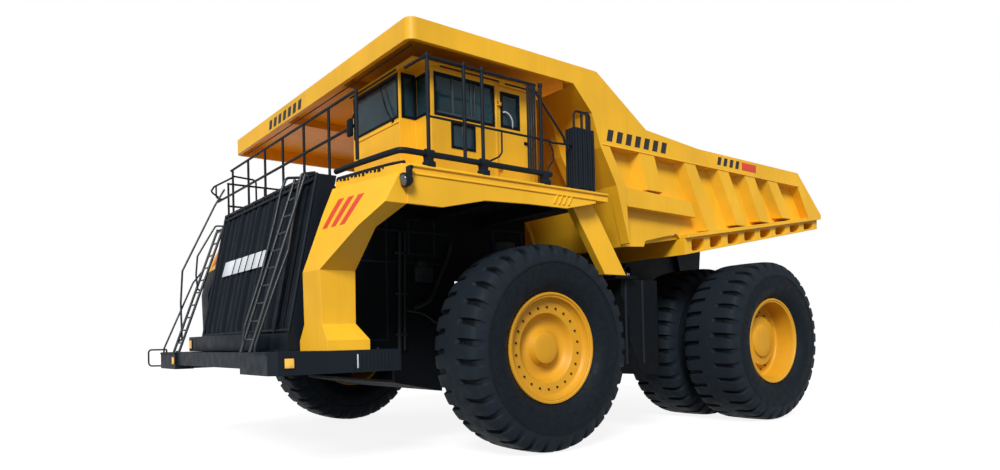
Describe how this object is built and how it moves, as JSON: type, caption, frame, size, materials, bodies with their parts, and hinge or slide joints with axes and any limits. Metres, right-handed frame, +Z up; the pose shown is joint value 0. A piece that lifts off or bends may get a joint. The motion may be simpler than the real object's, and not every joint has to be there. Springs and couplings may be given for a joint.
{
  "type": "mining dump truck",
  "caption": "Rigid mining dump truck with a tipping bed, steered front wheels, twin rear tyres, a deck with handrails, an offset cab and a canopy over it.",
  "frame": {"origin": "on the ground under the tyres, midway across the width and midway along the length", "axes": "+Z up, -Y towards the front bumper, +X towards the left side, where the cab is"},
  "size_m": [10.02, 15.27, 7.45],
  "materials": {
    "yellow_paint": "semi-gloss yellow-orange paint",
    "black_paint": "satin blue-black paint",
    "rod_chrome": "polished cylinder rod",
    "tyre_rubber": "matt dark rubber",
    "window_glass": "tinted cab glass",
    "seat_fabric": "woven dark seat cover"
  },
  "bodies": {
    "chassis": {"cab_console": "black_paint", "cab_floor": "yellow_paint", "cab_front": "yellow_paint", "cab_glass": "window_glass", "cab_left": "yellow_paint", "cab_rear": "yellow_paint", "cab_right": "yellow_paint", "cab_roof": "yellow_paint", "control_cabinet": "yellow_paint", "cross_members": "black_paint", "deck": "yellow_paint", "deck_frame": "black_paint", "deck_valances": "yellow_paint", "engine_block": "black_paint", "engine_covers": "black_paint", "frame_rails": "black_paint", "front_bumper": "black_paint", "fuel_tank": "black_paint", "handrail_front": "black_paint", "handrail_left": "black_paint", "handrail_right": "black_paint", "hydraulic_tank": "black_paint", "ladders": "black_paint", "louvred_box": "black_paint", "operator_seat": "seat_fabric", "radiator": "black_paint", "rear_axle_housing": "black_paint", "rear_deck_struts": "yellow_paint", "suspension_collar": "black_paint", "uprights": "yellow_paint"},
    "knuckle_left": {"knuckle_left": "black_paint"},
    "knuckle_right": {"knuckle_right": "black_paint"},
    "tie_rod": {"tie_rod": "black_paint"},
    "steer_barrel_left": {"steer_barrel_left": "black_paint"},
    "steer_barrel_right": {"steer_barrel_right": "black_paint"},
    "steer_rod_left": {"steer_rod_left": "rod_chrome"},
    "steer_rod_right": {"steer_rod_right": "rod_chrome"},
    "front_wheel_left": {"front_rim_left": "yellow_paint", "front_tyre_left": "tyre_rubber"},
    "front_wheel_right": {"front_rim_right": "yellow_paint", "front_tyre_right": "tyre_rubber"},
    "rear_wheels_left": {"rear_rim_left": "yellow_paint", "rear_tyres_left": "tyre_rubber"},
    "rear_wheels_right": {"rear_rim_right": "yellow_paint", "rear_tyres_right": "tyre_rubber"},
    "bed": {"bed_floor": "yellow_paint", "bed_beams": "black_paint", "bed_side_left": "yellow_paint", "bed_side_right": "yellow_paint", "bed_front_wall": "yellow_paint", "bed_canopy": "yellow_paint"},
    "hoist_barrels": {"hoist_barrels": "black_paint"},
    "hoist_stages": {"hoist_stages": "rod_chrome"},
    "hoist_rods": {"hoist_rods": "rod_chrome"},
    "door": {"cab_door": "yellow_paint", "door_glass": "window_glass"}
  },
  "joints": [
    {"name": "steer_left", "type": "hinge", "parent": "chassis", "child": "knuckle_left", "pos_m": [3.2, -2.585, 1.94], "axis": [0, 0, 1], "range_deg": [-35, 35]},
    {"name": "steer_right", "type": "hinge", "parent": "chassis", "child": "knuckle_right", "pos_m": [-3.2, -2.585, 1.94], "axis": [0, 0, 1], "range_deg": [-36, 36]},
    {"name": "tie_rod_turn", "type": "hinge", "parent": "knuckle_left", "child": "tie_rod", "pos_m": [3.2, -1.735, 1.526], "axis": [0, 0, 1], "range_deg": [-36, 36]},
    {"name": "steer_barrel_left_swing", "type": "hinge", "parent": "chassis", "child": "steer_barrel_left", "pos_m": [1.35, -3.095, 1.526], "axis": [0, 0, 1], "range_deg": [-0.29541, 0.29541]},
    {"name": "steer_rod_left_slide", "type": "slide", "parent": "steer_barrel_left", "child": "steer_rod_left", "axis": [0.9996, -0.027, 0], "range_m": [-0.33392, 0.33392]},
    {"name": "front_wheel_left_spin", "type": "hinge", "parent": "knuckle_left", "child": "front_wheel_left", "pos_m": [4.165, -2.585, 1.94], "axis": [1, 0, 0], "continuous": true},
    {"name": "rear_wheels_left_spin", "type": "hinge", "parent": "chassis", "child": "rear_wheels_left", "pos_m": [4, 4.475, 1.94], "axis": [1, 0, 0], "continuous": true},
    {"name": "steer_barrel_right_swing", "type": "hinge", "parent": "chassis", "child": "steer_barrel_right", "pos_m": [-1.35, -3.095, 1.526], "axis": [0, 0, 1], "range_deg": [-0.29541, 0.29541]},
    {"name": "steer_rod_right_slide", "type": "slide", "parent": "steer_barrel_right", "child": "steer_rod_right", "axis": [-0.9996, -0.027, 0], "range_m": [-0.33392, 0.33392]},
    {"name": "front_wheel_right_spin", "type": "hinge", "parent": "knuckle_right", "child": "front_wheel_right", "pos_m": [-4.165, -2.585, 1.94], "axis": [1, 0, 0], "continuous": true},
    {"name": "rear_wheels_right_spin", "type": "hinge", "parent": "chassis", "child": "rear_wheels_right", "pos_m": [-4, 4.475, 1.94], "axis": [1, 0, 0], "continuous": true},
    {"name": "bed_tip", "type": "hinge", "parent": "chassis", "child": "bed", "pos_m": [0, 6.115, 3.2], "axis": [-1, 0, 0], "range_deg": [0, 45]},
    {"name": "hoist_swing", "type": "hinge", "parent": "chassis", "child": "hoist_barrels", "pos_m": [0, 2.415, 2], "axis": [-1, 0, 0], "range_deg": [0, 9.93]},
    {"name": "hoist_stages_slide", "type": "slide", "parent": "hoist_barrels", "child": "hoist_stages", "axis": [0, 0.3011, 0.9536], "range_m": [0, 1.21391]},
    {"name": "hoist_rods_slide", "type": "slide", "parent": "hoist_stages", "child": "hoist_rods", "axis": [0, 0.3011, 0.9536], "range_m": [0, 1.21391]},
    {"name": "door_swing", "type": "hinge", "parent": "chassis", "child": "door", "pos_m": [3.978, -3.168, 5.34], "axis": [0, 0, -1], "range_deg": [0, 50]}
  ],
  "couplings": [
    {"joint": "steer_right", "follows": "steer_left", "ratio": 1},
    {"joint": "tie_rod_turn", "follows": "steer_left", "ratio": -1},
    {"joint": "steer_barrel_left_swing", "follows": "steer_left", "ratio": -0.008116},
    {"joint": "steer_rod_left_slide", "follows": "steer_left", "m_per_rad": 0.52561},
    {"joint": "steer_barrel_right_swing", "follows": "steer_left", "ratio": -0.008116},
    {"joint": "steer_rod_right_slide", "follows": "steer_left", "m_per_rad": -0.52561},
    {"joint": "hoist_swing", "follows": "bed_tip", "ratio": 0.21636},
    {"joint": "hoist_stages_slide", "follows": "bed_tip", "m_per_rad": 1.5153},
    {"joint": "hoist_rods_slide", "follows": "bed_tip", "m_per_rad": 1.5153}
  ]
}
